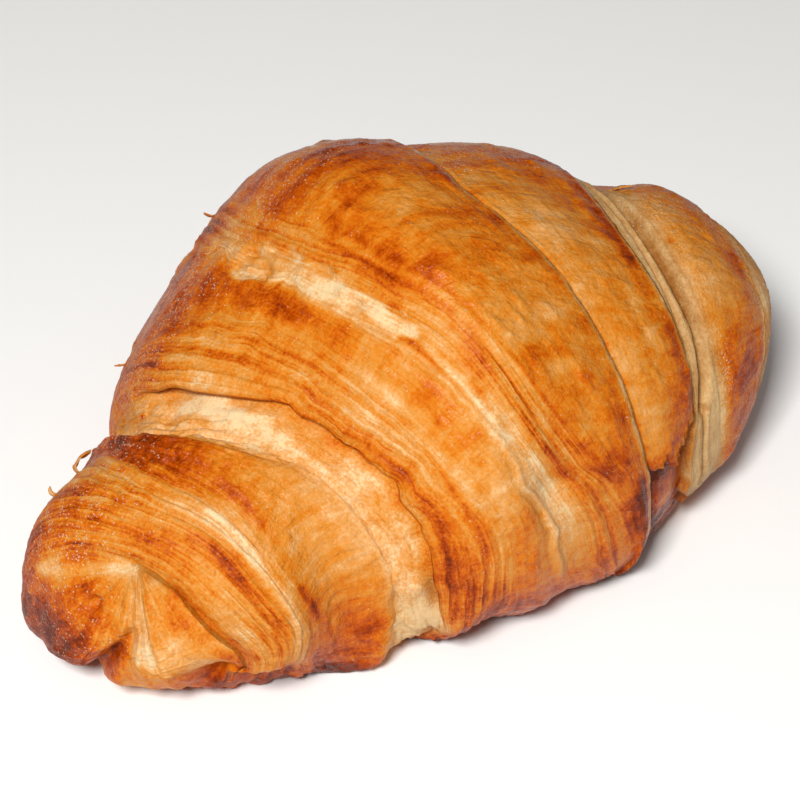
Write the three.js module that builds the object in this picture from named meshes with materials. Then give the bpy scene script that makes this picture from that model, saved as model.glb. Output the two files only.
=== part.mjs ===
// A butter croissant, baked as one piece: a triangle of laminated dough, rolled up from its base to its point.
// Millimetres, +Z up. It lies on its flat underside at z = 0, with its length along X and its hollow side towards -Y.
//
// Every point of the crust has two coordinates. "station" runs along the roll, from -1 at the left horn to +1 at
// the right horn. "turn" is the angle round the roll in degrees: 0 on the ridge, 90 on the front, -90 on the back
// and 180 underneath.
import * as THREE from "three";
import { mergeVertices } from "three/addons/utils/BufferGeometryUtils.js";

// The plain roll, before its wraps are laid on.
const HALF_SPAN = 62; // half the straight distance between the two horns' middles
const BEND = 17.5; // how far the horns come forward of the middle
const SKEW = -5.5; // how much more the left horn comes forward than the right one
const SINK = 3; // how far the round underside is pressed flat by the tray
const BELLY = 0.42; // height of the widest line, as a share of the height
const STATIONS = [-1, -0.72, -0.42, -0.1, 0.22, 0.55, 0.8, 1];
const HALF_WIDTHS = [39, 25, 36.5, 41.5, 39.5, 36, 31.5, 29];
const HEIGHTS = [44, 40, 49, 65, 62, 56, 54, 50];
const LEFT_HORN = { bluntness: 8, middle: 16 }; // middle: the height of the horn's end
const RIGHT_HORN = { bluntness: 3.3, middle: 30 };
const CROWN_SQUARENESS = 2.1; // 2 is an ellipse, and more is squarer
const BASE_SQUARENESS = 2.8;

// The edges that show where one wrap of dough ends on top of the next. Each lies at these places along the roll, in
// millimetres from the middle, at each of TURNS, and the crust rises by step when it is crossed from left to right.
const TURNS = [-180, -120, -60, -30, 0, 30, 60, 90, 120, 180];
const EDGES = [
  { step: 1, at: [-58, -58, -58, -58.5, -59, -60, -60.3, -59.5, -58.5, -58] }, // left horn's end
  { step: 0.4, at: [-48, -46, -44, -46, -47, -49, -52, -51, -49, -48] }, // first wrap, left
  { step: -2.4, at: [-38, -42, -44, -43, -40.5, -36, -34, -32, -32, -38] }, // first wrap, right
  { step: 3, at: [-29, -33, -35, -36, -33.5, -28, -25.5, -24.5, -25, -29] }, // second wrap, left
  { step: 0.6, at: [-2, -10, -11.5, -13, -11, -5, 10, 22, 24, -2] }, // point of the triangle, left
  { step: -1.6, at: [20, 12, 10, 10, 12, 19.5, 26, 30, 31, 20] }, // point of the triangle, right
  { step: -1.6, at: [37, 33, 31, 31, 33.5, 37, 40, 41, 41, 37] }, // second wrap, right
  { step: 1.2, at: [42, 38, 36, 37, 40, 44, 47, 48, 48, 42] }, // first wrap, left of its crust
  { step: -1, at: [53, 52, 51, 52.5, 55.5, 56.5, 57.5, 57, 56, 53] }, // right horn's end
];
const LEFT_OFFSET = -1.2; // how far the left horn's end lies inside the plain roll
const STEP_WIDTH = 1.5; // how wide the slope of a step is
const BULGE = 0.8; // how far a wrap swells between its two edges
const RINGS_BETWEEN_EDGES = 4;
const POLE_RINGS = 5; // rings that close each horn's end
const AROUND = 60;

const CRUST = new THREE.MeshStandardMaterial({ color: "#c9782c", roughness: 0.45, metalness: 0 });

const degrees = THREE.MathUtils.degToRad;

// A smooth curve through values set at uneven places: cubic, with each slope taken from the two neighbours.
function smoothCurve(places, values, x) {
  const last = places.length - 1;
  const at = THREE.MathUtils.clamp(x, places[0], places[last]);
  let i = 0;
  while (i < last - 1 && at > places[i + 1]) i += 1;
  const slope = (k) => {
    const a = Math.max(k - 1, 0);
    const b = Math.min(k + 1, last);
    return (values[b] - values[a]) / (places[b] - places[a]);
  };
  const span = places[i + 1] - places[i];
  const t = (at - places[i]) / span;
  const start = values[i] + t * t * (3 - 2 * t) * (values[i + 1] - values[i]);
  return start + span * t * (1 - t) * ((1 - t) * slope(i) - t * slope(i + 1));
}

// A point of the plain roll, moved outwards by offset.
function rollPoint(station, turn, offset) {
  const horn = station < 0 ? LEFT_HORN : RIGHT_HORN;
  const fullness = Math.sqrt(Math.max(0, 1 - Math.abs(station) ** horn.bluntness));
  const sideways = smoothCurve(STATIONS, HALF_WIDTHS, station) * fullness + offset * fullness;
  const top = horn.middle + (smoothCurve(STATIONS, HEIGHTS, station) - horn.middle) * fullness;
  const bottom = horn.middle - (horn.middle + SINK) * fullness;
  const belly = bottom + BELLY * (top - bottom);
  const c = Math.cos(degrees(turn));
  const s = Math.sin(degrees(turn));
  const power = 2 / (c > 0 ? CROWN_SQUARENESS : BASE_SQUARENESS);
  const across = sideways * Math.sign(s) * Math.abs(s) ** power;
  const rise = (c > 0 ? top - belly : belly - bottom) + offset * fullness;
  const z = belly + rise * Math.sign(c) * Math.abs(c) ** power;
  // The roll's middle line is bent forwards, and each ring stands square to it.
  const y = -BEND * station ** 2 + SKEW * (station - station ** 3);
  const slope = (-2 * BEND * station + SKEW * (1 - 3 * station ** 2)) / HALF_SPAN;
  const square = 1 / Math.hypot(1, slope);
  return new THREE.Vector3(
    HALF_SPAN * station + slope * square * across,
    y - square * across,
    Math.max(z, 0),
  );
}

// A ring's line within a wrap, which swells most half-way between its edges.
function swollenLine(edge, mix, height) {
  return { edge, mix, shift: 0, height: height + BULGE * Math.sin(Math.PI * mix) };
}

// The lines that the rings of the mesh follow: a few between each two edges, and one on each side of each step. Each
// is given as a mix of two neighbouring edges, a distance past that, and the height of the crust there.
function ringLines() {
  const lines = [];
  let height = LEFT_OFFSET;
  EDGES.forEach((edge, i) => {
    lines.push({ edge: i, mix: 0, shift: -STEP_WIDTH / 2, height });
    height += edge.step;
    lines.push({ edge: i, mix: 0, shift: STEP_WIDTH / 2, height });
    if (i < EDGES.length - 1)
      for (let k = 1; k < RINGS_BETWEEN_EDGES; k += 1)
        lines.push(swollenLine(i, k / RINGS_BETWEEN_EDGES, height));
  });
  return lines;
}

// Where a ring's line crosses the given turn, as a station.
function stationOf(line, turn) {
  const here = smoothCurve(TURNS, EDGES[line.edge].at, turn);
  if (line.mix === 0) return (here + line.shift) / HALF_SPAN;
  const next = smoothCurve(TURNS, EDGES[line.edge + 1].at, turn);
  const room = next - here - STEP_WIDTH;
  return (here + STEP_WIDTH / 2 + line.mix * room) / HALF_SPAN;
}

// Past its last edge, each horn's end closes in rings whose radius falls evenly to nothing.
function hornStation(edgeStation, share) {
  const { bluntness } = edgeStation < 0 ? LEFT_HORN : RIGHT_HORN;
  const radius = share * Math.sqrt(1 - Math.abs(edgeStation) ** bluntness);
  return Math.sign(edgeStation) * (1 - radius ** 2) ** (1 / bluntness);
}

// A sphere is a net of rings with two poles, so it is bent into the croissant: its poles become the horns' ends.
function croissantGeometry() {
  const lines = ringLines();
  const rings = lines.length + 2 * POLE_RINGS - 1;
  const net = new THREE.SphereGeometry(1, AROUND, rings);
  const place = net.getAttribute("position");
  const uv = net.getAttribute("uv");
  for (let i = 0; i < place.count; i += 1) {
    const turn = 180 - uv.getX(i) * 360;
    const ring = Math.round((1 - uv.getY(i)) * rings);
    const k = THREE.MathUtils.clamp(ring - POLE_RINGS, 0, lines.length - 1);
    const past = ring - POLE_RINGS - k;
    let station = stationOf(lines[k], turn);
    if (past !== 0) station = hornStation(station, 1 - Math.abs(past) / POLE_RINGS);
    place.setXYZ(i, ...rollPoint(station, turn, lines[k].height).toArray());
  }
  net.deleteAttribute("normal");
  net.deleteAttribute("uv");
  const closed = mergeVertices(net, 1e-3);
  closed.computeBoundingBox();
  const middle = closed.boundingBox.getCenter(new THREE.Vector3());
  closed.translate(-middle.x, -middle.y, 0);
  return closed;
}

const croissant = new THREE.Mesh(croissantGeometry(), CRUST);
croissant.name = "croissant";

export default new THREE.Group().add(croissant);
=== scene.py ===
# %% [markdown]
# # A butter croissant
# The dough is a stack of thin sheets of dough and butter. A triangle of it is rolled up from its base to
# its point, brushed with egg and baked. This notebook shapes the crust in one closed mesh, adds the loose
# flakes that stand off it, and bakes it brown with one procedural material.

# %% Load the fixed frame
import math

import bpy
import numpy as np
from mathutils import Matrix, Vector


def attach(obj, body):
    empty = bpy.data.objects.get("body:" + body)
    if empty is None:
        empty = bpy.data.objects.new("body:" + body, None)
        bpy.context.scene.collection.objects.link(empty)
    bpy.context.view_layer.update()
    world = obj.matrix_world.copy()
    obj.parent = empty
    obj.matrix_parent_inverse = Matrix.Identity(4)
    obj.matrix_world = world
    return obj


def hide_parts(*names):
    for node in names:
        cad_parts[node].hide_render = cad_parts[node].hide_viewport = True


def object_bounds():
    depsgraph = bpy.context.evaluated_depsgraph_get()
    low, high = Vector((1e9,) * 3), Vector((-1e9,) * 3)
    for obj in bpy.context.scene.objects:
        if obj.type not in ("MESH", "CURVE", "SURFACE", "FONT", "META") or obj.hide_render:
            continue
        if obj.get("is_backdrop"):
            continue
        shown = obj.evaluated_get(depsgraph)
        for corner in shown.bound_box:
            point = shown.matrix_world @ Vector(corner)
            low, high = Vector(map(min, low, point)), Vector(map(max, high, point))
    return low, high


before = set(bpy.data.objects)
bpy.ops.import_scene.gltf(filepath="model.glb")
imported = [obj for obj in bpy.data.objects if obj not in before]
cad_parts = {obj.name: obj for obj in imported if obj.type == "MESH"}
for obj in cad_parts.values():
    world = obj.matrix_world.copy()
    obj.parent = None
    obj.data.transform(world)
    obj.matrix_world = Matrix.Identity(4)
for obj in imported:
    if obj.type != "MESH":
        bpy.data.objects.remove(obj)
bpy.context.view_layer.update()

MM = 0.001

# %% [markdown]
# ## The plain roll
# Before its wraps are laid on, the croissant is a bent roll with two blunt ends, pressed flat by the tray.
# Each point of it has a place along the roll in millimetres, from the left horn to the right one, and a
# turn round it in degrees: 0 on the ridge, 90 on the front, -90 on the back and 180 underneath. A formula
# suits it better than a modelled cage, because every later step (wraps, layers, flakes, colours) is placed
# by those same two numbers.

# %% The shape of the plain roll
HALF_SPAN = 62.0  # half the straight distance between the horns' middles
BEND = 17.5  # how far the horns come forward of the middle
SKEW = -5.5  # how much more the left horn comes forward
SINK = 3.0  # how far the round underside is pressed flat
BELLY = 0.42  # height of the widest line, as a share of the height
STATIONS = (-1, -0.72, -0.42, -0.1, 0.22, 0.55, 0.8, 1)
HALF_WIDTHS = (39, 25, 36.5, 41.5, 39.5, 36, 31.5, 29)
HEIGHTS = (44, 40, 49, 65, 62, 56, 54, 50)
LEFT_BLUNTNESS, RIGHT_BLUNTNESS = 8.0, 3.3
LEFT_MIDDLE, RIGHT_MIDDLE = 16.0, 30.0  # heights of the horns' ends
CROWN_POWER, BASE_POWER = 2 / 2.1, 2 / 2.8  # 1 is an ellipse, and less is squarer
ROLL_TO_ORIGIN = np.array([3.4, -0.5, 0.0])  # brings the middle of the croissant's box over the origin


def smooth_curve(places, values, x):
    """A cubic through values at uneven places, with each slope taken from the two neighbours."""
    places, values = np.asarray(places, float), np.asarray(values, float)
    slopes = np.gradient(values, places)
    x = np.clip(x, places[0], places[-1])
    i = np.clip(np.searchsorted(places, x, side="right") - 1, 0, len(places) - 2)
    span = places[i + 1] - places[i]
    t = (x - places[i]) / span
    straight = values[i] + t * t * (3 - 2 * t) * (values[i + 1] - values[i])
    return straight + span * t * (1 - t) * ((1 - t) * slopes[i] - t * slopes[i + 1])


def roll_point(place, turn, rise):
    """Points of the plain roll, moved outwards by rise. Millimetres and degrees, as arrays."""
    u = place / HALF_SPAN
    angle = np.radians(turn)
    full = np.sqrt(np.clip(1 - np.abs(u) ** np.where(u < 0, LEFT_BLUNTNESS, RIGHT_BLUNTNESS), 0, 1))
    middle = np.where(u < 0, LEFT_MIDDLE, RIGHT_MIDDLE)
    top = middle + (smooth_curve(STATIONS, HEIGHTS, u) - middle) * full
    bottom = middle - (middle + SINK) * full
    belly = bottom + BELLY * (top - bottom)
    c, s = np.cos(angle), np.sin(angle)
    power = np.where(c > 0, CROWN_POWER, BASE_POWER)
    lift = rise * full
    sideways = (smooth_curve(STATIONS, HALF_WIDTHS, u) * full + lift) * np.sign(s) * np.abs(s) ** power
    z = belly + (np.where(c > 0, top - belly, belly - bottom) + lift) * np.sign(c) * np.abs(c) ** power
    y = -BEND * u**2 + SKEW * (u - u**3)
    slope = (-2 * BEND * u + SKEW * (1 - 3 * u**2)) / HALF_SPAN
    square = 1 / np.hypot(1, slope)
    x = HALF_SPAN * u + slope * square * sideways
    return np.stack([x, y - square * sideways, np.maximum(z, 0)], -1) + ROLL_TO_ORIGIN


print("length of the plain roll:", 2 * HALF_SPAN, "mm")

# %% [markdown]
# ## Uneven dough
# Nothing on a croissant is straight or even. Smooth noise on a lattice gives the wobble: it is seeded, so
# each run makes the same croissant, and it repeats after one turn, so that it closes on itself underneath.

# %% Noise that closes round the roll
LATTICE = 257


def uneven(across, cells_round, turn, seed, octaves=1):
    """Noise of about -1 to 1. across counts cells along the roll, cells_round says how many go round it."""
    total, weight, share = 0.0, 1.0, 0.0
    for octave in range(octaves):
        lattice = np.random.default_rng(seed + octave).uniform(-1, 1, (LATTICE, LATTICE))
        scale = 2**octave
        x, y = np.broadcast_arrays(across * scale + 7.3 * octave, (turn / 360 + 0.5) * cells_round * scale)
        i, j = np.floor(x).astype(int), np.floor(y).astype(int)
        fx, fy = x - i, y - j
        fx, fy = fx * fx * (3 - 2 * fx), fy * fy * (3 - 2 * fy)
        count = cells_round * scale
        i0, i1, j0, j1 = i % LATTICE, (i + 1) % LATTICE, j % count % LATTICE, (j + 1) % count % LATTICE
        near = lattice[i0, j0] * (1 - fy) + lattice[i0, j1] * fy
        far = lattice[i1, j0] * (1 - fy) + lattice[i1, j1] * fy
        total = total + weight * (near * (1 - fx) + far * fx)
        share += weight
        weight *= 0.5
    return total / share * 1.4


def ridged(*settings):
    """The same noise, with thin ridges where it crosses zero. 1 on a ridge."""
    return 1 - 2 * np.abs(uneven(*settings))


sample = uneven(np.array([0.2, 5.5, 9.1]), 12, np.array([0, 40, 90]), 1)
print("noise at three places:", np.round(sample, 2))

# %% [markdown]
# ## Where the wraps end
# Rolling up a triangle leaves one long edge on each side, winding round the roll from the horns to the
# point. Each edge here is given by its place along the roll at a few turns, and a smooth closed curve runs
# through them. Left of the middle each edge faces left, and right of the middle each faces right.

# %% Edges of the wraps
TURNS = (-180, -120, -90, -60, -30, 0, 30, 60, 90, 120, 180)
EDGES = {
    "knob": (-57, -57.5, -58, -58.4, -58.7, -59.2, -60.6, -60.8, -60.1, -58.6, -57),
    "left shoulder": (-43, -43, -43, -44.2, -46, -47, -49.2, -52, -50, -44, -43),
    "bare band": (-38, -40, -41, -42, -42.6, -40.5, -36.2, -33.8, -32.2, -33, -38),
    "big step": (-29, -33, -34, -35.3, -35.8, -33, -28.3, -25.2, -24.4, -19.5, -29),
    "second shoulder": (-15, -25, -27, -27.8, -26.8, -23.7, -19.7, -15.6, -6.9, -2, -15),
    "torn sliver": (-9, -19, -20, -19.2, -19.9, -18.8, -14.5, -6.5, 4, 10, -9),
    "stack": (-4, -14, -17, -15.6, -17.4, -15.5, -11, 0, 14.3, 20.5, -4),
    "point left": (3, -8, -13, -11.6, -13, -11, -5, 9, 25, 27, 3),
    "point right": (20, 12, 9, 8, 8, 11, 20, 26.6, 30.1, 30, 20),
    "second right": (38, 33, 31, 30.5, 31, 34, 37.4, 40.4, 40.5, 41, 38),
    "right shoulder": (46, 41, 38, 37, 38.5, 41, 44.5, 47.2, 48.5, 49, 46),
    "right end": (53, 52, 51, 51, 52.5, 55.3, 57.2, 57.6, 56.7, 56, 53),
}
# How far an edge wanders off its smooth curve, and how ragged it is where it tore, both in millimetres.
WANDER, RAGGEDNESS = 0.4, 0.1
OWN_WANDER = {"knob": 0.05}
OWN_RAGGEDNESS = {
    "knob": 0.03, "left shoulder": 0.3, "bare band": 0.5, "big step": 1.0, "second shoulder": 0.8,
    "torn sliver": 2.2, "stack": 1.6, "point left": 0.8, "point right": 0.5, "second right": 0.7,
    "right end": 0.6,
}


def round_the_roll(values, turn):
    """A smooth closed curve round the roll through values at TURNS."""
    places = (TURNS[-3] - 360, TURNS[-2] - 360, *TURNS, TURNS[1] + 360, TURNS[2] + 360)
    return smooth_curve(places, (values[-3], values[-2], *values, values[1], values[2]), turn)


def edge_line(name, turn):
    """Where an edge runs at each turn. Each edge draws its noise from seeds of its own."""
    seed = 100 + list(EDGES).index(name) * 10
    line = round_the_roll(EDGES[name], turn) + OWN_WANDER.get(name, WANDER) * uneven(0, 13, turn, seed)
    torn_here = np.clip(0.4 + uneven(0, 11, turn, seed + 3), 0, 1) ** 2
    return line + OWN_RAGGEDNESS.get(name, RAGGEDNESS) * torn_here * uneven(0, 60, turn, seed + 5, 3)


print("edges:", ", ".join(EDGES))

# %% [markdown]
# ## The wraps
# Between two edges lies one wrap. Its rise is how far it stands off the plain roll, its swell how much it
# bulges in the middle. Layered says how much of the cut side of the dough shows, as thin sheets, and wash
# how much egg it got. Tone goes from 0, pale crumb, to 1, nearly burnt, at each of TURNS. The edges that
# stand up brown more, by toast.

# %% Wraps from left to right
# rows is how many rings a wrap gets, and toast how much browner its left and its right edge are.
WRAP_KEYS = ("name", "rows", "rise", "swell", "layered", "wash", "toast", "tone")
WRAP_ROWS = (
    ("knob", 34, -1.2, 0.0, 0.5, 0.4, (0, 0),
     (.7, .7, .65, .55, .46, .38, .36, .28, .34, .5, .7)),
    ("left side", 46, 0.1, 0.5, 1.0, 0.35, (0.06, 0.04),
     (.7, .7, .65, .56, .44, .38, .3, .26, .36, .6, .7)),
    ("left face", 38, 0.4, 1.0, 0.12, 1.0, (0.12, -0.1),
     (.66, .6, .6, .64, .62, .54, .42, .36, .5, .68, .66)),
    ("bare band", 28, -2.2, 0.3, 0.1, 0.0, (0, 0.06),
     (.7, .5, .45, .36, .2, .12, .18, .16, .16, .2, .7)),
    ("second side", 34, 0.9, 0.5, 0.9, 0.4, (0.12, 0),
     (.66, .58, .56, .58, .5, .34, .28, .42, .62, .74, .66)),
    ("second face", 26, 1.0, 0.7, 0.25, 0.9, (0, 0),
     (.66, .6, .62, .66, .64, .54, .43, .38, .44, .66, .66)),
    ("torn sliver", 16, 0.5, 0.0, 0.35, 0.35, (0, 0),
     (.7, .6, .55, .5, .38, .14, .3, .16, .34, .68, .7)),
    ("stack", 26, 0.7, 0.3, 1.0, 0.4, (0, 0),
     (.66, .58, .56, .58, .52, .4, .36, .38, .52, .7, .66)),
    ("point", 52, 1.4, 0.9, 0.12, 1.0, (0, 0.08),
     (.66, .6, .6, .66, .6, .5, .46, .48, .58, .74, .66)),
    ("second right", 44, 0.2, 1.3, 0.1, 0.9, (-0.06, 0.22),
     (.66, .6, .58, .62, .58, .4, .37, .39, .5, .72, .66)),
    ("pale strips", 30, -1.2, 0.3, 0.6, 0.05, (0, 0),
     (.7, .5, .4, .3, .18, .08, .06, .06, .08, .2, .7)),
    ("right face", 32, -0.2, 1.2, 0.1, 0.7, (-0.05, 0.12),
     (.66, .6, .58, .6, .56, .42, .42, .5, .56, .68, .66)),
    ("right end", 26, -0.8, 0.0, 0.7, 0.1, (0, 0),
     (.7, .65, .55, .45, .36, .24, .22, .24, .35, .5, .7)),
)
WRAPS = [dict(zip(WRAP_KEYS, row)) for row in WRAP_ROWS]

# Where an edge stands up as a lip: which side is on top, how far the lip hangs over, how deep the gap under
# it goes, the tone of the cut edge, where the pale inside of the sheet shows, and the turns between which
# it is open.
LIPS = {
    "big step": dict(top="right", over=0.6, under=1.3, cut=0.45, open=(-48, 112)),
    "point right": dict(top="left", over=0.4, under=1.0, cut=0.06, open=(-120, 115)),
    "second right": dict(top="left", over=0.4, under=1.2, cut=0.06, open=(-120, 78)),
    "right end": dict(top="left", over=0.3, under=0.6, cut=0.1, open=(-100, 95)),
}
OPENING = 18  # degrees over which a lip opens and closes
# The biggest lip gapes at one place: its turn, how many degrees wide, and how many millimetres deeper and
# higher.
GAPE_TURN, GAPE_WIDTH, GAPE_DEPTH = -22, 7, 3.2
GAPE_LIFT = 0.35  # how far the lip lifts there, as a share of the depth
# Across a lip from below to above: the share of its reach, a shift in millimetres, the share of its height,
# and which of its parts this is.
LIP_PROFILE = (
    (-1, -0.7, 0, "below"), (-0.3, 0, -0.06, "gap"), (0.6, 0, -0.08, "gap"), (1, 0, 0.15, "gap"),
    (0.7, 0, 0.5, "gap"), (0.15, 0, 0.62, "gap"), (-1, 0, 0.7, "cut"), (-1, -0.1, 0.88, "cut"),
    (-1, 0.35, 1, "above"),
)

on_wraps, on_lips = sum(wrap["rows"] for wrap in WRAPS), len(LIP_PROFILE) * len(LIPS)
print(on_wraps, "rings lie on the wraps and", on_lips, "on the lips")

# %% [markdown]
# ## Dents, swellings and tears
# Hand-made dough has soft dents and swellings. Each is a round patch with a place, a turn, its two radii
# (millimetres along, degrees round) and how far it moves the crust, or how much it changes the tone or the
# frosting of flour.

# %% Patches on the crust
DENTS = (
    (-24, -62, 9, 26, -1.6), (-34, -75, 8, 30, -0.8), (-57, -80, 6, 24, -1.4), (-56, 124, 6, 30, -11),
    (-36, 128, 9, 25, 2.2), (-10, 124, 8, 25, -1.8), (40, -36, 5, 18, -3.2), (22, 118, 8, 22, 1.0),
    (49, 134, 9, 25, 1.5), (-14, -55, 7, 25, 1.2), (56, -20, 6, 30, 0.8), (-60, -130, 5, 30, 6.0),
    (6, 77, 5.5, 7, -1.7), (-38.2, -24, 1.6, 7, -1.2), (-38, 5, 3, 14, -0.4), (20, 20, 9, 14, 0.5),
    (-3, 35, 8, 12, 0.4),
)
TONE_PATCHES = (
    (-46, -14, 5, 20, 0.1), (-60.2, -36, 2, 16, 0.26), (-56.4, -26, 2, 10, 0.06),
    (-43.1, -8, 4, 10, 0.08), (-37.4, 94, 4, 8, 0.1), (-22.6, 64, 1.5, 8, 0.08), (-46, 38, 2, 10, 0.06),
    (-50.4, 24, 1.8, 12, -0.24), (-55.6, 16, 1.2, 12, 0.1), (-35.2, -12, 2.2, 14, -0.4),
    (-26, 106, 5, 9, -0.6), (-17, -32, 4, 8, -0.24), (-31.5, 20, 1.5, 10, 0.2), (-14, 22, 2, 9, 0.12),
    (-10, 16, 3, 8, 0.12), (-12.4, 23, 2, 7, 0.24), (42.5, 40, 3, 14, 0.12), (-55.6, 62, 2, 14, 0.1),
    (-10.6, 88, 3, 8, -0.16), (-41, 48, 5, 16, -0.06), (-43, 96, 7, 14, 0.14), (-49.5, 68, 2.5, 12, 0.1),
    (-17, 77, 1.6, 7, -0.08), (-6, -8, 3, 7, -0.04), (19, -14, 3, 6, -0.1), (-20, -8, 4, 8, 0.04),
    (-9, 72, 4, 10, -0.1), (-11, 90, 4, 6, -0.1), (-16, -52, 5, 10, 0.14), (-27, 10, 1.5, 10, 0.08),
    (-28, 76, 2, 8, 0.1), (55, 32, 2, 8, 0.08), (-3, 2, 4, 8, -0.1), (4, 4, 5, 6, -0.08),
    (9, -6, 4, 6, 0.1), (-4, -22, 7, 8, 0.06), (-5, 20, 4, 5, 0.08), (7, 43.5, 5, 2.2, 0.18),
    (13, 48, 4, 2.4, -0.16), (22, 49, 2.5, 3, -0.14), (17, 61, 5, 6, -0.12), (-5, 42, 3, 6, 0.28),
    (22, 74, 5, 6, 0.16), (27, 88, 3, 8, 0.38), (16, 103, 8, 6, 0.02), (5, 76, 5.5, 6, -0.16),
    (9, 73, 3, 3, 0.22), (20, -18, 8, 7, 0.1), (14, 34, 3, 5, -0.08), (20, 44, 4, 4, 0.08),
    (24, 62, 3, 5, 0.1), (19, 14, 5, 12, -0.06), (36, 60, 2.5, 14, 0.2), (34, 83, 4, 4, 0.26),
    (50, 64, 5, 14, 0.14), (54, 17, 2.0, 8, 0.22), (53, 72, 3.6, 16, 0.1), (48, 22, 3, 14, -0.06),
    (46.5, 85, 1.8, 22, -0.4), (38, 98, 4, 8, -0.5), (43, 11, 0.5, 1.3, 0.5), (44.6, 75, 0.4, 1.0, 0.4),
    (-38.1, -40, 0.4, 1.0, 0.4),
)
FROST_PATCHES = (
    (-30, -48, 10, 14, 0.8), (-15, -38, 10, 14, 0.9), (0, -32, 9, 9, 0.5), (18, -25, 8, 8, 1.1),
    (13, -12, 3, 8, 0.6), (44, -8, 5, 12, 1.0), (48.5, 66, 1.4, 16, 0.8), (-47, -34, 7, 18, 0.6),
    (-57, -40, 4, 26, 0.6), (56, -10, 3, 20, 0.5),
)

# Streaks and bands that run round the roll: (turn, place) points, half width in millimetres, change of
# tone.
STREAKS = (
    (((-30, -56.5), (0, -56.6), (30, -57), (60, -57.6), (90, -58)), 0.5, 0.2),
    (((-2, -53.9), (15, -55.4), (40, -56.6), (70, -57.4)), 0.6, 0.2),
    (((5, -54.6), (22, -55.2), (40, -55.8), (60, -56.4), (85, -56.4)), 1.1, 0.2),
    (((-10, -51.6), (15, -52.4), (40, -53.4), (70, -54.4), (95, -54)), 1.6, -0.16),
    (((6, -46), (26, -46.9), (40, -47.9), (54, -49.6), (66, -49.8), (80, -48), (95, -44.6)), 1.0, 0.34),
    (((-55, -38.8), (-30, -38.8), (-12, -38), (0, -37)), 0.9, 0.2),
    (((-30, -36.4), (-14, -36.2), (0, -35), (10, -33.6)), 0.3, 0.12),
    (((8, -34), (25, -32), (50, -30), (80, -29)), 0.7, 0.1),
    (((22, -29), (36, -26.3), (55, -24.2), (75, -23), (90, -22)), 1.2, 0.26),
    (((-40, -31.6), (-10, -30.2), (12, -28), (30, -25.4)), 0.6, 0.2),
    (((-45, -29.6), (-15, -27.6), (5, -25.8), (25, -23.6), (40, -22)), 0.5, 0.2),
    (((20, -25.6), (40, -23), (60, -20.6), (85, -17)), 0.9, -0.12),
    (((-20, -25.4), (0, -23.4), (20, -21), (45, -18.4), (65, -15.6), (90, -9)), 1.0, -0.14),
    (((35, -21.4), (60, -18.6), (90, -12.6)), 0.5, 0.2),
    (((-40, -26), (-15, -23.4), (5, -21), (25, -18.6), (45, -16), (60, -13.8), (76, -9.6)), 1.3, 0.06),
    (((8, -14.8), (22, -13.2), (38, -10.6), (52, -7.2), (64, -3.4), (74, -0.4)), 0.5, -0.26),
    (((12, -15.4), (24, -13.9), (38, -11.4), (50, -8.4)), 0.25, 0.3),
    (((-30, -14.8), (-8, -13.6), (12, -11), (34, -5), (54, 3), (74, 13), (90, 22)), 0.5, 0.22),
    (((-15, -12.6), (8, -9.6), (28, -3.6), (46, 4), (62, 12), (78, 20)), 0.5, 0.2),
    (((-10, -13), (14, -9.4), (36, -2), (58, 8.4), (76, 18), (92, 26)), 0.6, -0.16),
    (((50, -1), (64, 5.6), (80, 14.6), (96, 22)), 0.5, 0.2),
    (((10, -7.4), (22, -2), (30, 6), (36, 15)), 2.0, 0.1),
    (((-25, 31), (-5, 32.4), (20, 34.4), (45, 37.4), (74, 39.6)), 1.9, 0.2),
)
FADE = 12  # degrees over which a streak or groove starts and stops
# Where the torn sliver came away, a bare patch of cream dough shows: (turn, place) points along its middle.
TORN_PATCH = ((-30, -20.2), (-18, -19.2), (-8, -18.2), (8, -16.2), (36, -11))
# Grooves between the pale strips: the same, with a depth in millimetres.
GROOVES = (
    (((8, -59.8), (30, -60.6), (60, -60.8), (90, -60.1), (118, -58.8)), 0.5, 1.4),
    (((-30, 34.2), (-12, 35.2), (5, 37), (35, 40), (60, 41.4), (80, 41.4)), 0.35, 0.7),
    (((-40, 36.8), (-15, 37.2), (10, 39.6), (30, 42), (45, 43.8), (62, 44.3), (80, 43.4)), 0.8, 3.0),
    (((-10, 38.8), (15, 41), (35, 43.2), (50, 44.8)), 0.4, 0.7),
    (((58, 44.5), (80, 44), (110, 45)), 0.3, 0.8),
)


def patches(table, place, turn):
    """The sum of a table's round patches at each point. Turns are compared the short way round."""
    total = 0.0
    for along, at, radius, spread, amount in table:
        away = (turn - at + 180) % 360 - 180
        total = total + amount * bell((place - along) / radius) * bell(away / spread)
    return total


def step_up(x):
    """0 below 0, 1 above 1 and smooth between."""
    x = np.clip(x, 0, 1)
    return x * x * (3 - 2 * x)


def bell(x):
    """1 where x is 0, falling away smoothly on both sides."""
    return np.exp(-(x**2))


def ribbon(points, half_width, place, turn):
    """1 on the curve through (turn, place) points, fading to 0 beside it and at its ends."""
    turns, places = zip(*points)
    beside = (place - np.interp(turn, turns, places)) / half_width
    return bell(beside) * step_up((turn - turns[0]) / FADE) * step_up((turns[-1] - turn) / FADE)


print(len(TONE_PATCHES), "patches of tone,", len(STREAKS), "streaks and", len(GROOVES), "grooves")
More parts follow.
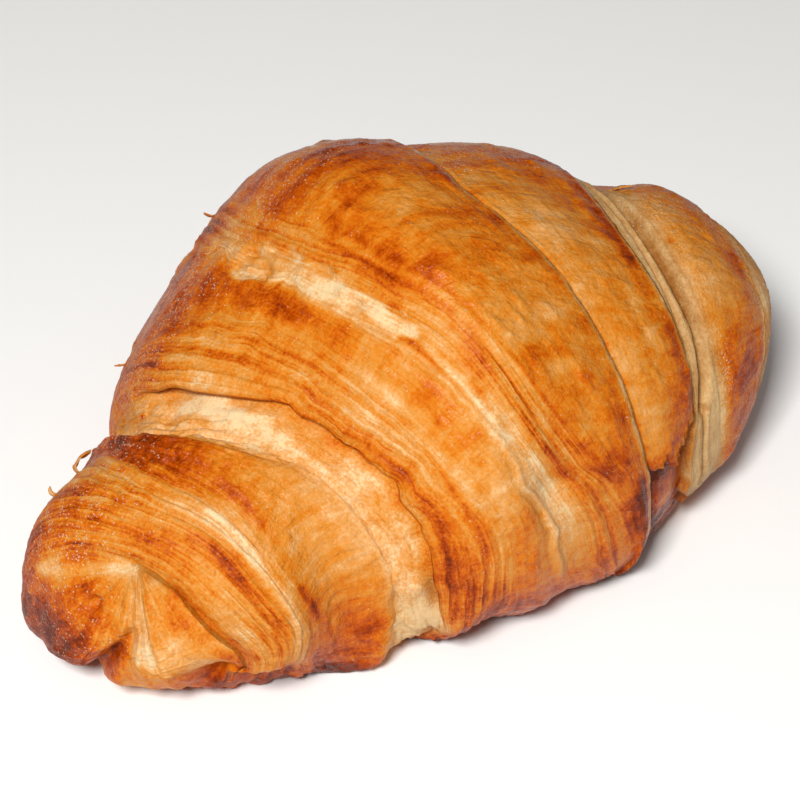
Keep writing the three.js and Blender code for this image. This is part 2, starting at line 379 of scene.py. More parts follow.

# %% [markdown]
# ## Rings of the crust
# The crust is a net of closed rings. Each ring is a line along the roll for every turn, with its rise.
# Where an edge stands up as a lip, the rings run out under it and come back above it, so the gap below the
# lip is a real one, and its rings are also painted darker, as shade.

# %% Lay the rings out
AROUND = 204  # points in each ring
CROWDING = 0.38  # how much closer the points lie on top, where the crust is seen best
share_round = np.linspace(-1, 1, AROUND, endpoint=False)
ring_turns = 180 * (share_round - CROWDING * np.sin(math.pi * share_round) / math.pi)
NUDGE = 0.05  # mm along the roll, to measure a direction or a length
CLOSED_START, CLOSED_SPAN = 1.1, 1.7  # mm: how far before its line a closed lip starts, and its reach
PLAIN_ROOM, ROOM_ABOVE, ROOM_BELOW = 0.15, 0.8, 1.3  # mm left free at a plain edge, above a lip, below it
RISE_BLEND, TONE_BLEND, LAYER_BLEND = 30, 50, 60  # how often neighbouring rings are blended


def along_per_crust(place, turn):
    """Millimetres along the roll for each millimetre of crust: small near the horns' ends."""
    ahead, behind = roll_point(place + NUDGE, turn, 0 * turn), roll_point(place - NUDGE, turn, 0 * turn)
    return 2 * NUDGE / np.linalg.norm(ahead - behind, axis=-1)


def lip_rows(name, low, high, turn):
    """The rings across a lip, from left to right: shift, rise, part, and whether it is on top."""
    lip = LIPS[name]
    gape = GAPE_DEPTH * bell((turn - GAPE_TURN) / GAPE_WIDTH) if name == "big step" else 0.0
    under = lip["under"] * (1 + 0.5 * uneven(3, 24, turn, 61)) + gape
    opened = openness(name, turn)
    rows = []
    for k, (side, extra, height, part) in enumerate(LIP_PROFILE):
        shift = side * (lip["over"] if side < 0 else under) + extra
        rise = low + (high - low) * height
        if side > 0 and height < 0.1:  # the bottom of the gap
            rise = rise - 0.5 * gape
        if side < 0 and height > 0.6:  # the lip itself
            rise = rise + GAPE_LIFT * gape
        even = k / (len(LIP_PROFILE) - 1)  # where the lip is closed, its rings lie on an even slope
        shift = opened * shift + (1 - opened) * (CLOSED_SPAN * even - CLOSED_START - lip["over"])
        rise = opened * rise + (1 - opened) * (low + (high - low) * step_up(even))
        rows.append((shift, rise, part, height > 0.4))
    if lip["top"] == "left":
        rows = [(-shift, rise, part, upper) for shift, rise, part, upper in reversed(rows)]
    return rows


def room_at_lip(name, side):
    """How far from its line the wrap on the given side of an edge has to stop."""
    if name not in LIPS:
        return PLAIN_ROOM
    over = LIPS[name]["over"]
    return ROOM_ABOVE - over if LIPS[name]["top"] == side else ROOM_BELOW + over


def horn_cap(line, share):
    """From an edge near a horn's end, rings whose radius falls evenly to nothing."""
    blunt = np.where(line < 0, LEFT_BLUNTNESS, RIGHT_BLUNTNESS)
    radius = share * np.sqrt(1 - np.abs(line / HALF_SPAN) ** blunt)
    return np.sign(line) * HALF_SPAN * (1 - radius**2) ** (1 / blunt)


def openness(name, turn):
    """How far a lip stands open at each turn, from 0 to 1."""
    start, stop = LIPS[name]["open"]
    return step_up((turn - start) / OPENING) * step_up((stop - turn) / OPENING)


# For each ring: place, rise, tone, number of its wrap, share of the way across that, whether it lies in a
# gap, and how far its lip is open.
rings = []
names = list(EDGES)
lines = [edge_line(name, ring_turns) for name in names]
unit = [along_per_crust(line, ring_turns) for line in lines]
for number, wrap in enumerate(WRAPS):
    tone = round_the_roll(wrap["tone"], ring_turns)
    first, final = number == 0, number == len(WRAPS) - 1
    for k in range(wrap["rows"]):
        mix = (k + 0.5) / wrap["rows"]
        if first:
            place = horn_cap(lines[0] - unit[0] * room_at_lip(names[0], "left"), mix)
        elif final:
            place = horn_cap(lines[-1] + unit[-1] * room_at_lip(names[-1], "right"), 1 - mix)
        else:
            start = lines[number - 1] + unit[number - 1] * room_at_lip(names[number - 1], "right")
            stop = lines[number] - unit[number] * room_at_lip(names[number], "left")
            place = start + mix * (stop - start)
        shoulders = 1 - (2 * mix - 1) ** 4 if not (first or final) else 0.0
        rise = wrap["rise"] + wrap["swell"] * (shoulders - 0.5) + 0 * ring_turns
        toast = wrap["toast"][0] * math.exp(-mix * 6) + wrap["toast"][1] * math.exp(-(1 - mix) * 5)
        rings.append((place, rise, tone + toast, number, mix, False, 0 * ring_turns))
    if not final and names[number] in LIPS:
        name, after = names[number], WRAPS[number + 1]
        left_rise = wrap["rise"] - (0 if first else wrap["swell"] / 2)
        right_rise = after["rise"] - (0 if number == len(WRAPS) - 2 else after["swell"] / 2)
        left_on_top = LIPS[name]["top"] == "left"
        low, high = (right_rise, left_rise) if left_on_top else (left_rise, right_rise)
        right_tone = round_the_roll(after["tone"], ring_turns)
        opened = openness(name, ring_turns)
        for shift, rise, part, upper in lip_rows(name, low, high, ring_turns):
            own = number if upper == left_on_top else number + 1
            own_tone = tone if own == number else right_tone
            cut_tone = LIPS[name]["cut"] + 0.25 * own_tone
            rim_tone = cut_tone if left_on_top else own_tone
            # The rings in the gap are painted 0.3 darker in tone: painted shade under the lip.
            part_tone = {"cut": cut_tone, "gap": own_tone + 0.3, "above": rim_tone, "below": own_tone}[part]
            lip_tone = own_tone + opened * (part_tone - own_tone)
            at = 1.0 if own == number else 0.0
            line = lines[number] + unit[number] * shift
            rings.append((line, rise + 0 * ring_turns, lip_tone, own, at, part == "gap", opened))

place, rise, tone, wrap_of, mix_of, inside, opened = (np.array(column) for column in zip(*rings))
mix_of, inside = mix_of[:, None], inside[:, None]
turn = ring_turns[None, :] + 0 * place
joined = 1 - np.maximum(opened[1:], opened[:-1])


def settle(values, passes):
    """Blends each ring's values into those of the rings beside it, but not across an open lip."""
    for _ in range(passes):
        step = 0.25 * np.diff(values, axis=0) * joined
        values = values + np.pad(step, ((0, 1), (0, 0))) - np.pad(step, ((1, 0), (0, 0)))
    return values


rise = settle(rise, RISE_BLEND)
tone = settle(tone, TONE_BLEND)
print(place.shape[0], "rings of", AROUND, "points:", 2 * AROUND * place.shape[0], "triangles")

# %% [markdown]
# ## How the layers run
# Streaks and layers run round the roll, along the rings, so each ring has one number that says how far
# across the layers it lies, in millimetres. It is measured along the crust itself, where the turn is 40
# degrees.

# %% A ruler across the layers
RULER_TURN = 40
GIRTH = 225  # mm round the roll, about
plain = roll_point(place, turn, rise)
at_ruler = int(np.argmin(np.abs(ring_turns - RULER_TURN)))
steps = np.linalg.norm(np.diff(plain[:, at_ruler], axis=0), axis=1)
across = np.concatenate([[0], np.cumsum(steps)])[:, None]
along = turn * GIRTH / 360


def over_crust(cells_per_mm, cells_round, seed, octaves=1):
    """Noise that follows the layers."""
    return uneven(across * cells_per_mm, cells_round, turn, seed, octaves)


print("the ruler runs over", round(float(across[-1, 0]), 1), "mm of crust")

# %% [markdown]
# ## Relief
# The cut sides of the dough show its sheets as fine ridges along the rings. The washed faces are smoother,
# with soft waves and blisters where steam lifted the skin. Between the second wrap and the right face, deep
# grooves part a few pale strips, and the grooves are painted darker, as shade.

# %% Relief of layers, blisters, grooves and tears
SHEET_PITCH = 1.9  # mm from the edge of one sheet to the next, where the dough swelled most
SHEET_FACE = 0.78  # the share of a sheet that slopes up, before its edge drops
TORN_HALF_WIDTH = 1.9  # mm, of the bare patch at the torn sliver


def of_wraps(key):
    """A number that belongs to each wrap, for every ring."""
    return np.array([wrap[key] for wrap in WRAPS])[wrap_of][:, None]


layered = settle(of_wraps("layered") + 0 * turn, LAYER_BLEND)
wash = settle(of_wraps("wash") + 0 * turn, LAYER_BLEND)
wander = 1.5 * over_crust(0.05, 7, 31, 2)
sheet = (across + wander) / SHEET_PITCH + 0.7 * over_crust(0.16, 8, 12, 2)
share_of_sheet = sheet - np.floor(sheet)
slope_up = share_of_sheet / SHEET_FACE
drop_down = (1 - share_of_sheet) / (1 - SHEET_FACE)
shingle = np.minimum(slope_up, drop_down)
sheet_depth = 0.25 + 0.75 * np.clip(0.45 + over_crust(0.3, 9, 13), 0, 1)
fine_sheets = ridged((across + wander) * 0.9, 7, turn, 17, 2)
waves = over_crust(0.09, 12, 41, 2)
wrinkles = ridged(across * 0.16, 60, turn, 45, 2)
blisters = np.clip(over_crust(0.45, 70, 51, 2) - 0.3, 0, 1)
relief = layered * (0.4 * sheet_depth * (shingle - 0.5) + 0.14 * fine_sheets)
relief += (0.15 + 0.5 * wash) * waves * 0.8
relief += (0.2 + wash) * (0.4 * blisters + 0.1 * wrinkles) + 0.06 * over_crust(1.5, 180, 71, 2)
relief *= np.where(inside, 0.3, 1)

is_wrap = {wrap["name"]: (wrap_of == k)[:, None] for k, wrap in enumerate(WRAPS)}
for points, half_width, depth in GROOVES:
    groove = ribbon(points, half_width, place, turn)
    relief -= depth * groove
    # Each groove is also painted darker in tone: painted shade along its bottom.
    tone = tone + 0.3 * groove

# The torn sliver is a wrinkled shred, which stands up as a thin crest along its left side. Where it came
# away, the bare patch lies a little lower, with a raised rim.
sliver = is_wrap["torn sliver"]
bubbles = over_crust(0.55, 80, 91, 3)
bare_patch = ribbon(TORN_PATCH, TORN_HALF_WIDTH, place + 1.5 * over_crust(0.25, 34, 93, 3), turn)
bare_patch = step_up((bare_patch - 0.32 - 0.01 * np.clip(turn - 2, 0, 30)) / 0.14)
bare_rim = 4 * bare_patch * (1 - bare_patch)
crest = bell((mix_of - 0.16) / 0.12) * (0.5 + 0.5 * uneven(0 * across, 34, turn, 87, 2))
shred = ridged(across * 0.35, 50, turn, 89, 3)
relief += sliver * (0.9 * crest + 0.45 * shred * (1 - step_up((turn - 55) / 12)))
tone = tone - sliver * (0.14 * crest + 0.08 * shred)
relief += bare_patch * (0.5 * bubbles - 0.4) + 0.3 * bare_rim

# The second wrap's sheet is torn off low on the front. Below the tear the crust is darker: partly darker
# dough, partly painted shade under the torn edge.
tear = 80 - 4.5 * uneven(across * 0.3, 30, 0 * turn, 85, 2) - 12 * np.clip((place - 37) / 5, 0, 1)
torn = is_wrap["second right"] * step_up((turn - tear) / 1.0) * (1 - step_up((turn - 125) / 10))
tear_edge = is_wrap["second right"] * bell((turn - tear) / 1.2)
relief += 0.5 * tear_edge - 1.8 * torn
tone = tone + torn * (0.34 + 0.06 * step_up((turn - 84) / 12)) - 0.1 * tear_edge
# The thin skin on the bare band ends in a torn edge too.
skin_end = 86 + 5 * uneven(across * 0.4, 30, 0 * turn, 95, 2)
skin = is_wrap["bare band"] * step_up((turn - skin_end) / 1.5)
relief -= 0.6 * skin
# The bare band is matte and fibrous, like the torn inside of bread.
fibres = over_crust(0.9, 90, 97, 3) + over_crust(2.0, 26, 99, 2)
sheets_left = step_up((over_crust(0.3, 34, 103, 3) - 0.05) / 0.1)
relief += is_wrap["bare band"] * (0.28 * fibres + 0.45 * sheets_left)
tone = tone + is_wrap["bare band"] * (0.05 * fibres - 0.1 * sheets_left)
# Low down, where the dough sat in its own butter, the crust is blistered.
rim_blisters = np.clip(over_crust(0.5, 90, 65, 3), -0.2, 1)

dents = patches(DENTS, place, turn)
print("relief from", round(float(relief.min()), 2), "to", round(float(relief.max()), 2), "mm")

# %% [markdown]
# ## The left horn's knob
# At the left horn the rolled core looks out of the wraps. The dough was pulled from its top, so folds fan
# out from there, and one deep crease parts a dark lobe on the left from a pale fan on the right. These are
# placed on the flat of the horn's end, by millimetres forward and up from its middle.

# %% Folds of the knob
POLE = roll_point(np.array(-HALF_SPAN), np.array(0.0), 0.0)
FORWARD = np.array([0.596, -0.803, 0.0])  # along the horn's end
OUTWARD = np.array([-0.803, -0.596, 0.0])  # square to it
PULLED_FROM = (-0.8, 15.9)
CREASE = ((3, 8.5), (-11, -12))  # the line of the deep crease, from its top to its foot
PALE_STREAK = ((-1, 14.6), (-19, 7.2))  # the same for a pale fold above the dark lobe


def along_line(x, y, start, end):
    """Distance from a line between two points, and the share of the way along it."""
    dx, dy = end[0] - start[0], end[1] - start[1]
    share = np.clip(((x - start[0]) * dx + (y - start[1]) * dy) / (dx * dx + dy * dy), 0, 1)
    return np.hypot(x - start[0] - share * dx, y - start[1] - share * dy), share


forward = (plain - POLE) @ FORWARD
upward = plain[..., 2] - POLE[2]
from_pull = np.hypot(forward - PULLED_FROM[0], upward - PULLED_FROM[1])
fan = np.arctan2(upward - PULLED_FROM[1], forward - PULLED_FROM[0])
crease, crease_share = along_line(forward, upward, *CREASE)
lobe = bell((forward + 10) / 6.5) * bell((upward + 1) / 8)
fan_swell = bell((forward - 4) / 9) * bell(upward / 9)
fan_foot = bell((forward + 3) / 6) * bell((upward + 12) / 6)
folds = uneven(fan * 3.2, 3, 40 + 0 * turn, 23, 3)
fine_folds = ridged(fan * 7, 3, 40 + from_pull, 27, 2)
knob = is_wrap["knob"] * 1.0
knob_push = 3.0 * lobe + 3.0 * fan_swell + 3.5 * fan_foot
knob_push -= 3.4 * bell(crease / 1.3) * step_up(crease_share * 2)
knob_push += (1.3 * folds + 0.4 * fine_folds) * step_up(from_pull / 8)
knob_push -= 0.9 * bell(from_pull / 4)
knob_push -= 1.8 * bell(np.hypot(forward + 7, upward - 7))
knob_push -= 0.7 * np.clip(forward - 6, 0, 16) * step_up((6 - upward) / 14)
pale_streak, _ = along_line(forward, upward, *PALE_STREAK)
knob_tone = 0.16 * lobe - 0.2 * fan_swell + 0.24 * folds + 0.08 * fine_folds - 0.36 * fan_foot
knob_tone += 0.18 * step_up((-forward - 9) / 6) * step_up((4 - upward) / 8)
knob_tone -= 0.34 * bell(pale_streak / 0.9) + 0.12 * bell(from_pull / 4)
# Along the crease the knob is painted darker: painted shade in the crease.
knob_tone += 0.12 * bell(crease / 0.9) * step_up(crease_share * 3)
tone = tone + knob * knob_tone
print("the knob has", int(knob.sum()), "rings")

# %% [markdown]
# ## Put the crust together
# A sphere is already a net of rings with two poles, closed and free of seams. One is added with as many
# rings and points as the crust needs, and each of its points is moved to its place, as with a sculpting
# brush.

# %% Shape the crust
RIM_BLISTER = 0.8  # mm: how high the blisters near the tray stand
outwards = np.cross(
    roll_point(place, turn + 1, 0 * rise) - roll_point(place, turn - 1, 0 * rise),
    roll_point(place + NUDGE, turn, 0 * rise) - roll_point(place - NUDGE, turn, 0 * rise),
)
outwards /= np.maximum(np.linalg.norm(outwards, axis=-1, keepdims=True), 1e-9)
lying = roll_point(place, turn, rise + dents)
lifted = step_up((lying[..., 2] - 0.3) / 3)
near_tray = (1 - step_up((lying[..., 2] - 2) / 7)) * step_up(lying[..., 2] / 2)
shaped = lying + outwards * (relief * lifted + RIM_BLISTER * rim_blisters * near_tray)[..., None]
knob_push *= knob * np.clip(lifted + 0.3, 0, 1) * step_up((1 - mix_of) / 0.3)
shaped += OUTWARD * knob_push[..., None]
shaped[..., 2] = np.maximum(shaped[..., 2], 0)
left_pole = shaped[0].mean(0)
right_pole = shaped[-1].mean(0)


def points_of(thing):
    """The places of a mesh's points, one row for each."""
    points = np.empty(len(thing.data.vertices) * 3)
    thing.data.vertices.foreach_get("co", points)
    return points.reshape(-1, 3)


def store(thing, name, kind, values):
    """Stores a value for each point of a mesh."""
    layer = thing.data.attributes.new(name, kind, "POINT")
    field = "vector" if kind == "FLOAT_VECTOR" else "value"
    layer.data.foreach_set(field, values.astype(np.float32).ravel())


def add_crust():
    """The closed net, with each of its points moved, and the ring and turn that each point came from."""
    bpy.ops.mesh.primitive_uv_sphere_add(segments=AROUND, ring_count=len(rings) + 1, radius=1)
    made = bpy.context.object
    made.name = "croissant_crust"
    start = points_of(made)
    tilt = np.arctan2(np.hypot(start[:, 0], start[:, 1]), -start[:, 2]) / math.pi * (len(rings) + 1)
    ring = np.round(tilt).astype(int) - 1
    spin = np.round(-np.arctan2(start[:, 1], start[:, 0]) / (2 * math.pi) * AROUND).astype(int) % AROUND
    inner = np.clip(ring, 0, len(rings) - 1)
    points = shaped[inner, spin]
    points[ring < 0] = left_pole
    points[ring >= len(rings)] = right_pole
    made.data.vertices.foreach_set("co", (points * MM).ravel())
    bpy.ops.object.mode_set(mode="EDIT")
    bpy.ops.mesh.select_all(action="SELECT")
    bpy.ops.mesh.normals_make_consistent(inside=False)
    bpy.ops.object.mode_set(mode="OBJECT")
    bpy.ops.object.shade_smooth()
    return made, inner, spin


crust, ring_index, turn_index = add_crust()
print("crust:", len(crust.data.polygons), "faces,", [round(v / MM, 1) for v in crust.dimensions])

# %% [markdown]
# ## What the finish needs to know
# The finish reads a few values that are stored at each point of the crust: how the layers run, how brown it
# is, how much of its layers show, how much egg wash it has, and how much flour and painted glints it has.
# They follow the surface, which no pattern in plain space could do on a rolled thing.

# %% Store the values on the crust
DARKEST, MOST_FLOUR_AND_GLINTS = 0.86, 1.2  # nothing is charred, and flour and painted glints lie no thicker than this
height = shaped[..., 2]
rim = 1 - step_up(height / 6)
low_rim = 1 - step_up(height / 2.2)
tone = tone + patches(TONE_PATCHES, place, turn)
wobble = 0.5 * over_crust(0.1, 14, 131, 2)
broken = 0.75 + 0.5 * over_crust(0.3, 22, 137, 2)
for points, half_width, change in STREAKS:
    tone = tone + change * broken * ribbon(points, half_width, place + wobble, turn)
# The bare patch takes a pale cream, its own colour; its raised rim is painted 0.16 darker, as shade along
# the torn edge.
tone = tone + bare_patch * (0.16 - 0.14 * bubbles - tone) + 0.16 * bare_rim
side_on = (turn < 150) & (turn > -150)
# Each sheet is paler at its raised edge and darker at its foot, partly painted shade below the drop; wave
# troughs are a little darker.
tone = tone - layered * 0.1 * sheet_depth * (shingle - 0.5) - 0.04 * waves
tone = tone + (0.14 * rim + 0.24 * low_rim) * side_on
soft = np.vstack([tone[:1], tone, tone[-1:]])
tone = (soft[:-2] + 2 * soft[1:-1] + soft[2:]) / 4
# Flour lies in the patches and on the back; the 0.07 everywhere is painted glints, sparse bright grains
# that stand in for specks of light.
frost = patches(FROST_PATCHES, place, turn) + 0.22 * step_up((-turn - 45) / 25) * (turn > -130) + 0.07
# This marks dough that was never outside, which is duller, and is also painted shade: the pale strips and
# the right end get a darker, duller colour.
raw = 1.0 * is_wrap["pale strips"] + 0.35 * is_wrap["right end"] + 0.5 * skin + 0 * turn
raw = settle(raw, 12) * step_up((turn + 70) / 50) * step_up((150 - turn) / 30)
below_streak = knob * step_up((15.6 + 0.41 * (forward + 1) - upward) / 2)
fan_across = across + wander + below_streak * (fan * 10 + 40 - across - wander)
fan_along = along + below_streak * (-2 * from_pull - along)
layered = layered * np.where(knob > 0, 1 - 0.7 * bell(pale_streak / 1.2), 1)
grain = np.stack([fan_across, fan_along, 0 * turn], -1)
store(crust, "grain", "FLOAT_VECTOR", grain[ring_index, turn_index])
tone, frost = np.clip(tone, 0, DARKEST), np.clip(frost, 0, MOST_FLOUR_AND_GLINTS)
for name, values in dict(tone=tone, layered=layered, wash=wash, frost=frost, raw=raw).items():
    store(crust, name, "FLOAT", values[ring_index, turn_index])
print("stored:", ", ".join(layer.name for layer in crust.data.attributes if not layer.name.startswith(".")))

# %% [markdown]
# ## One helper for materials
# Colours are given as sRGB hex values and turned to linear ones, which is what light adds up in. One small
# function adds any node with its settings, the values of its inputs and its links.

# %% Helpers for materials
def linear(hex_colour):
    """An sRGB hex colour as linear RGBA."""
    srgb = [int(hex_colour[i : i + 2], 16) / 255 for i in (1, 3, 5)]
    return (*[c / 12.92 if c <= 0.04045 else ((c + 0.055) / 1.055) ** 2.4 for c in srgb], 1)


def node(kind, links=None, values=None, **settings):
    """Adds a node to the crust's material. A link comes from an output, or from a node's first output."""
    made = tree.nodes.new("ShaderNode" + kind)
    for key, value in settings.items():
        setattr(made, key, value)
    for key, value in (values or {}).items():
        made.inputs[key].default_value = value
    for key, source in (links or {}).items():
        output = source.outputs[0] if isinstance(source, bpy.types.Node) else source
        tree.links.new(output, made.inputs[key])
    return made


CRUST = bpy.data.materials.new("baked_croissant_crust")
CRUST.use_nodes = True
tree = CRUST.node_tree
tree.nodes.clear()
print("white is", linear("#FFFFFF"))

# %% [markdown]
# ## Baked crust: its colours and patterns
# The crust is baked wheat dough, brushed with egg on the faces that were outside. Its colour goes from
# cream crumb through gold and orange to dark caramel as its tone rises. On that lie patterns with real
# sizes: the cut edges of the sheets, fibres between them, strokes and clouds of the egg wash, mottling and
# pores. Each one moves the tone and the height, so what is darker also lies lower or higher, as it does on
# the real crust.

# %% Colours and patterns of the crust
BROWNING = (
    (0.0, "#DDBF90"), (0.12, "#D8A46A"), (0.25, "#D08F48"), (0.38, "#CB7F2A"), (0.5, "#C86C10"),
    (0.62, "#B85206"), (0.74, "#983700"), (0.86, "#702600"), (1.0, "#541A00"),
)
# size: millimetres across the layers, along them and through. window: the values of the pattern that are
# stretched to the two values in to. tone and height (mm): how much the pattern moves them everywhere, then
# how much more where layers show, and how much more where the crust is washed. PLAIN_PATTERN holds what a
# row doesn't say.
PLAIN_PATTERN = dict(kind="TexNoise", settings={}, follows="grain", window=(0.25, 0.75), to=(-0.5, 0.5),
                     tone=(0, 0, 0), height=(0, 0, 0))
SAW = dict(kind="TexWave", settings=dict(wave_profile="SAW"), window=(0, 1))
WAVE_LENGTH = 0.314  # of a wave pattern, at scale 1
PATTERNS = (
    dict(name="sheet edges", **SAW, size=(1.7 / WAVE_LENGTH, 45, 1), tone=(0, -0.22, 0),
         height=(0, 0.22, 0), values={"Distortion": 6, "Detail": 4, "Detail Roughness": 0.6}),
    dict(name="fine sheets", **SAW, size=(0.7 / WAVE_LENGTH, 34, 1), tone=(0, -0.1, 0),
         height=(0, 0.08, 0), values={"Distortion": 12, "Detail": 4, "Detail Roughness": 0.6}),
    dict(name="sheets", size=(3.6, 30, 1), tone=(0, 0.58, 0), height=(0, 0.12, 0),
         values={"Detail": 5, "Roughness": 0.6, "Distortion": 0.3}),
    dict(name="fibres", size=(0.45, 9, 1), window=(0.2, 0.8), tone=(0.08, 0.26, 0), height=(0.02, 0.05, 0),
         values={"Detail": 3, "Roughness": 0.6}),
    # The pale flecks are partly peeling flakes and partly painted highlights on the layers.
    dict(name="pale flecks and glints", size=(0.7, 2.6, 1), window=(0.6, 0.68), to=(0, 1), tone=(-0.02, -0.18, 0),
         height=(0, 0.12, 0), values={"Detail": 4, "Roughness": 0.66, "Distortion": 0.4}),
    dict(name="brush strokes", size=(10, 3.6, 1), tone=(0, 0, 0.22), height=(0, 0, 0.1),
         values={"Detail": 3, "Roughness": 0.5, "Distortion": 0.8}),
    dict(name="wrinkles", size=(3.0, 1.7, 1), tone=(0, 0, -0.14), height=(0, 0, 0.24),
         values={"Detail": 4, "Roughness": 0.55, "Distortion": 0.6}),
    dict(name="clouds", follows="space", size=(12, 12, 12), tone=(0.14, 0, 0.18),
         values={"Detail": 4, "Roughness": 0.55, "Distortion": 1.0}),
    dict(name="mottle", follows="space", size=(2.8, 2.8, 2.8), window=(0.2, 0.8), tone=(0.36, 0, -0.14),
         height=(0.16, 0.06, -0.02), values={"Detail": 5, "Roughness": 0.62, "Distortion": 0.2}),
    dict(name="pores", follows="space", size=(0.5, 0.5, 0.5), tone=(0.28, 0, -0.12),
         height=(0.06, 0.02, -0.01), values={"Detail": 2, "Roughness": 0.6}),
)
PATCH_SIZE = (9, 26, 1)  # mm: the layers show in patches of about this size, with plain skin between them
print("patterns:", ", ".join(row["name"] for row in PATTERNS))

# %% [markdown]
# ## Baked crust: its nodes
# A loop adds each pattern to the tone and to the height. The height drives one true-to-scale bump. Round
# blisters, where steam lifted the egg glaze, are cells of a Voronoi pattern, and so are the grains of
# flour, which also stand in as painted glints. The washed faces are glossier, and a little light passes
# through the thin skin, which warms the shadows.

# %% The crust's material
DRY_ROUGHNESS, GLAZED_ROUGHNESS = 0.5, 0.17
SHINE = 0.13  # 0.5 is all that its IOR gives, but a porous crust swallows most of it
SKIN_DEPTHS = (1.2, 0.54, 0.18)  # mm that red, green and blue light travel under the surface
BLISTER_CELL, FLOUR_AND_GLINT_CELL, FLOUR_AND_GLINT_CLUMP = 1.5, 0.4, 2.4  # mm
BLISTER_HEIGHT, FLOUR_AND_GLINT_HEIGHT = 0.07, 0.12  # mm
# The colour of the bright grains: flour on the back, and sparse painted glints everywhere.
FLOUR_AND_GLINT = "#DBC6A6"
FLOUR_AND_GLINT_COVER = 0.6  # how much of the crust's colour a bright grain hides
FLOUR_AND_GLINT_ROUGHNESS = 0.4  # what the bright grains add to the roughness
# Duller, darker dough colours, partly the unbaked dough's own and partly painted shade.
SHADED_RAW_DOUGH, SHADED_DRIED_DOUGH = "#CDA56E", "#8C5E2C"
RAW_AND_SHADE_SHARE = 0.85  # how much of the shaded raw dough colour the pale strips take

read = {}
for name in ("tone", "layered", "wash", "frost", "raw"):
    read[name] = node("Attribute", attribute_name=name).outputs["Fac"]
space = node("TexCoord").outputs["Object"]
follows = {"grain": node("Attribute", attribute_name="grain").outputs["Vector"], "space": space}

# The layers show in patches.
scale = [1 / size for size in PATCH_SIZE]
placed = node("Mapping", {"Vector": follows["grain"]}, {"Scale": scale})
patchy = node("TexNoise", {"Vector": placed}, {"Scale": 1.0, "Detail": 3, "Distortion": 0.5})
shows = node("MapRange", {"Value": patchy}, {"From Min": 0.34, "From Max": 0.62, "To Min": 0.25})
layers = node("Math", {0: read["layered"], 1: shows}, operation="MULTIPLY")
totals = {"tone": read["tone"], "height": node("Math", values={0: 0.0, 1: 0.0})}

for row in PATTERNS:
    row = PLAIN_PATTERN | row
    unit_size = 1 if row["follows"] == "grain" else 1 / MM
    scale = [unit_size / size for size in row["size"]]
    placed = node("Mapping", {"Vector": follows[row["follows"]]}, {"Scale": scale})
    pattern = node(row["kind"], {"Vector": placed}, {"Scale": 1.0, **row["values"]}, **row["settings"])
    window = dict(zip(("From Min", "From Max", "To Min", "To Max"), (*row["window"], *row["to"])))
    stretched = node("MapRange", {"Value": pattern.outputs["Fac"]}, window)
    for total in totals:
        always, on_layers, on_wash = row[total]
        strength = node("Math", {0: layers}, {1: on_layers, 2: always}, operation="MULTIPLY_ADD")
        links = {0: read["wash"], 2: strength}
        strength = node("Math", links, {1: on_wash}, operation="MULTIPLY_ADD")
        links = {0: stretched, 1: strength, 2: totals[total]}
        totals[total] = node("Math", links, operation="MULTIPLY_ADD")

browning = node("ValToRGB", {"Fac": totals["tone"]})
ramp = browning.color_ramp
for k, (at, colour) in enumerate(BROWNING):
    stop = ramp.elements[k] if k < 2 else ramp.elements.new(at)
    stop.position = at
    stop.color = linear(colour)

# Dough that was never outside gets a duller, darker colour, partly its own and partly painted shade.
shaded = node("MapRange", {"Value": totals["tone"]}, {"From Min": -0.15, "From Max": 0.55})
colours = {6: linear(SHADED_RAW_DOUGH), 7: linear(SHADED_DRIED_DOUGH)}
dough = node("Mix", {"Factor": shaded}, colours, data_type="RGBA")
raw_and_shade_share = node("Math", {0: read["raw"]}, {1: RAW_AND_SHADE_SHARE}, operation="MULTIPLY")
coloured = node("Mix", {"Factor": raw_and_shade_share, 6: browning, 7: dough.outputs[2]}, data_type="RGBA")

# Flour and painted glints: bright grains, thickest in clumps.
grains = node("TexVoronoi", {"Vector": space}, {"Scale": 1 / (FLOUR_AND_GLINT_CELL * MM)})
clumps = node("TexNoise", {"Vector": space}, {"Scale": 1 / (FLOUR_AND_GLINT_CLUMP * MM), "Detail": 4})
cover = node("MapRange", {"Value": clumps}, {"From Min": 0.4, "From Max": 0.62, "To Min": 0.25})
drawn = node("SeparateColor", {"Color": grains.outputs["Color"]})
reach = node("Math", {0: cover, 1: read["frost"]}, operation="MULTIPLY")
surplus = node("Math", {0: reach, 1: drawn.outputs[1]}, operation="SUBTRACT")
lies = node("MapRange", {"Value": surplus}, {"From Max": 0.08})
grain = node("MapRange", {"Value": grains}, {"From Min": 0.5, "From Max": 0.2})
flour_and_glint_mask = node("Math", {0: lies, 1: grain}, operation="MULTIPLY")
flour_and_glint_mask = node("Math", {0: flour_and_glint_mask}, {1: FLOUR_AND_GLINT_COVER}, operation="MULTIPLY")
links = {"Factor": flour_and_glint_mask, 6: coloured.outputs[2]}
with_flour_and_glints = node("Mix", links, {7: linear(FLOUR_AND_GLINT)}, data_type="RGBA")

